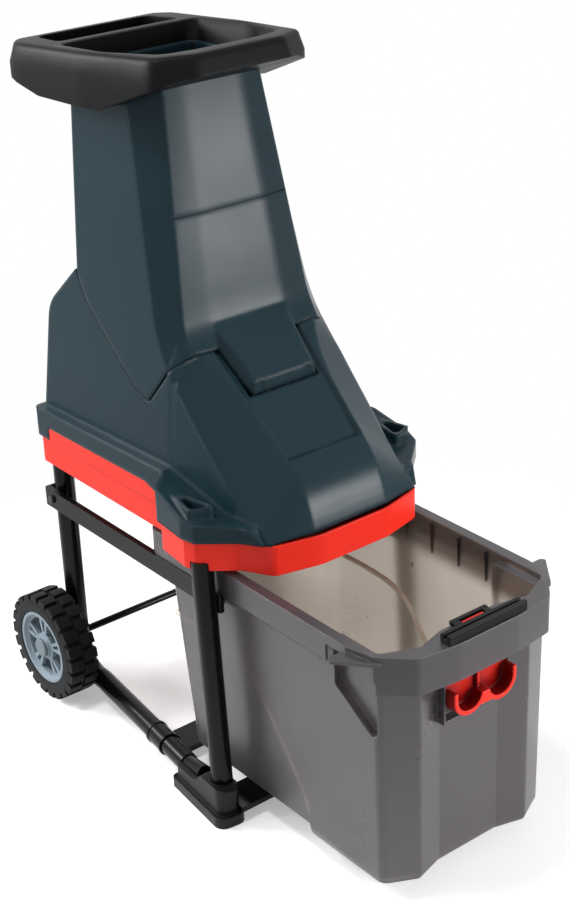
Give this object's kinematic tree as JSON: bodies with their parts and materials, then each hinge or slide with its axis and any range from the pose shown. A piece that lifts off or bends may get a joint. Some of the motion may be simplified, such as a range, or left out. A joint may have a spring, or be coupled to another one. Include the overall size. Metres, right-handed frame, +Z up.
{
  "type": "garden shredder",
  "caption": "Electric garden shredder: tall feed funnel over a motor hood, on a wheeled tube frame with a pull-out collecting box.",
  "frame": {"origin": "on the ground, under the middle of the machine with its box pulled out", "axes": "+Z up, -Y towards the front, where the box pulls out, +X to the right seen from the front"},
  "size_m": [0.442, 0.896, 1.0845],
  "materials": {
    "charcoal_plastic": "grained",
    "slate_plastic": "satin",
    "red_plastic": "satin",
    "green_plastic": "satin",
    "black_paint": "gloss",
    "tyre": "matte",
    "hub_plastic": "satin",
    "box_plastic": "translucent",
    "zinc_steel": "zinc",
    "tool_steel": "ground",
    "cast_aluminium": "cast",
    "motor_casing": "satin"
  },
  "bodies": {
    "frame": {"foot_left": "charcoal_plastic", "foot_right": "charcoal_plastic", "safety_switch": "charcoal_plastic", "switch_unit": "charcoal_plastic", "mains_inlet": "charcoal_plastic", "motor_housing": "slate_plastic", "base_tray": "red_plastic", "rear_tube_left": "black_paint", "rear_tube_right": "black_paint", "front_leg_left": "black_paint", "front_leg_right": "black_paint", "joint_collars": "black_paint", "slide_rail_left": "black_paint", "slide_rail_right": "black_paint", "front_plate": "black_paint", "rear_plate": "black_paint", "axle": "zinc_steel", "axle_washers": "zinc_steel", "lower_bearing": "zinc_steel", "upper_bearing": "zinc_steel", "counter_knife_screws": "zinc_steel", "motor_plate_screws": "zinc_steel", "pod_screws": "zinc_steel", "leg_screws": "zinc_steel", "rail_bolts": "zinc_steel", "foot_screws": "zinc_steel", "hinge_pin": "zinc_steel", "counter_knife": "tool_steel", "motor_plate": "cast_aluminium", "motor": "motor_casing"},
    "wheel_left": {"wheel_tyre_left": "tyre", "wheel_hub_left": "hub_plastic", "hub_cap_left": "hub_plastic"},
    "wheel_right": {"wheel_tyre_right": "tyre", "wheel_hub_right": "hub_plastic", "hub_cap_right": "hub_plastic"},
    "funnel": {"feed_funnel": "slate_plastic", "hopper_rim": "charcoal_plastic"},
    "knob": {"lock_knob": "charcoal_plastic"},
    "box": {"collecting_box": "box_plastic", "latch_guide": "charcoal_plastic"},
    "lock": {"locking_slider": "red_plastic"},
    "cutter": {"motor_shaft": "zinc_steel", "cooling_fan": "charcoal_plastic", "blade_disc": "tool_steel", "knives": "tool_steel", "disc_bolt": "zinc_steel", "knife_screws": "zinc_steel"},
    "on_switch": {"on_button": "green_plastic"},
    "off_switch": {"off_button": "red_plastic"},
    "reset_switch": {"reset_button": "charcoal_plastic"}
  },
  "joints": [
    {"name": "wheel_left_spin", "type": "hinge", "parent": "frame", "child": "wheel_left", "pos_m": [-0.192, 0.358, 0.09], "axis": [1, 0, 0], "continuous": true},
    {"name": "wheel_right_spin", "type": "hinge", "parent": "frame", "child": "wheel_right", "pos_m": [0.192, 0.358, 0.09], "axis": [1, 0, 0], "continuous": true},
    {"name": "funnel_tilt", "type": "hinge", "parent": "frame", "child": "funnel", "pos_m": [0, -0.024, 0.628], "axis": [1, 0, 0], "range_deg": [0, 60]},
    {"name": "knob_turn", "type": "hinge", "parent": "funnel", "child": "knob", "pos_m": [0, 0.322, 0.752], "axis": [0, -0.3374, 0.9414], "range_deg": [0, 270]},
    {"name": "box_slide", "type": "slide", "parent": "frame", "child": "box", "axis": [0, -1, 0], "range_m": [-0.242, 0.15]},
    {"name": "lock_slide", "type": "slide", "parent": "box", "child": "lock", "axis": [0, 0, 1], "range_m": [0, 0.012]},
    {"name": "disc_spin", "type": "hinge", "parent": "frame", "child": "cutter", "pos_m": [0, 0.013, 0.44], "axis": [0, 0, 1], "continuous": true},
    {"name": "on_press", "type": "slide", "parent": "frame", "child": "on_switch", "axis": [0, -1, 0], "range_m": [0, 0.003], "stiffness_N_per_m": 600},
    {"name": "off_press", "type": "slide", "parent": "frame", "child": "off_switch", "axis": [0, -1, 0], "range_m": [0, 0.003], "stiffness_N_per_m": 600},
    {"name": "reset_press", "type": "slide", "parent": "frame", "child": "reset_switch", "axis": [0, -1, 0], "range_m": [0, 0.003], "stiffness_N_per_m": 600}
  ]
}
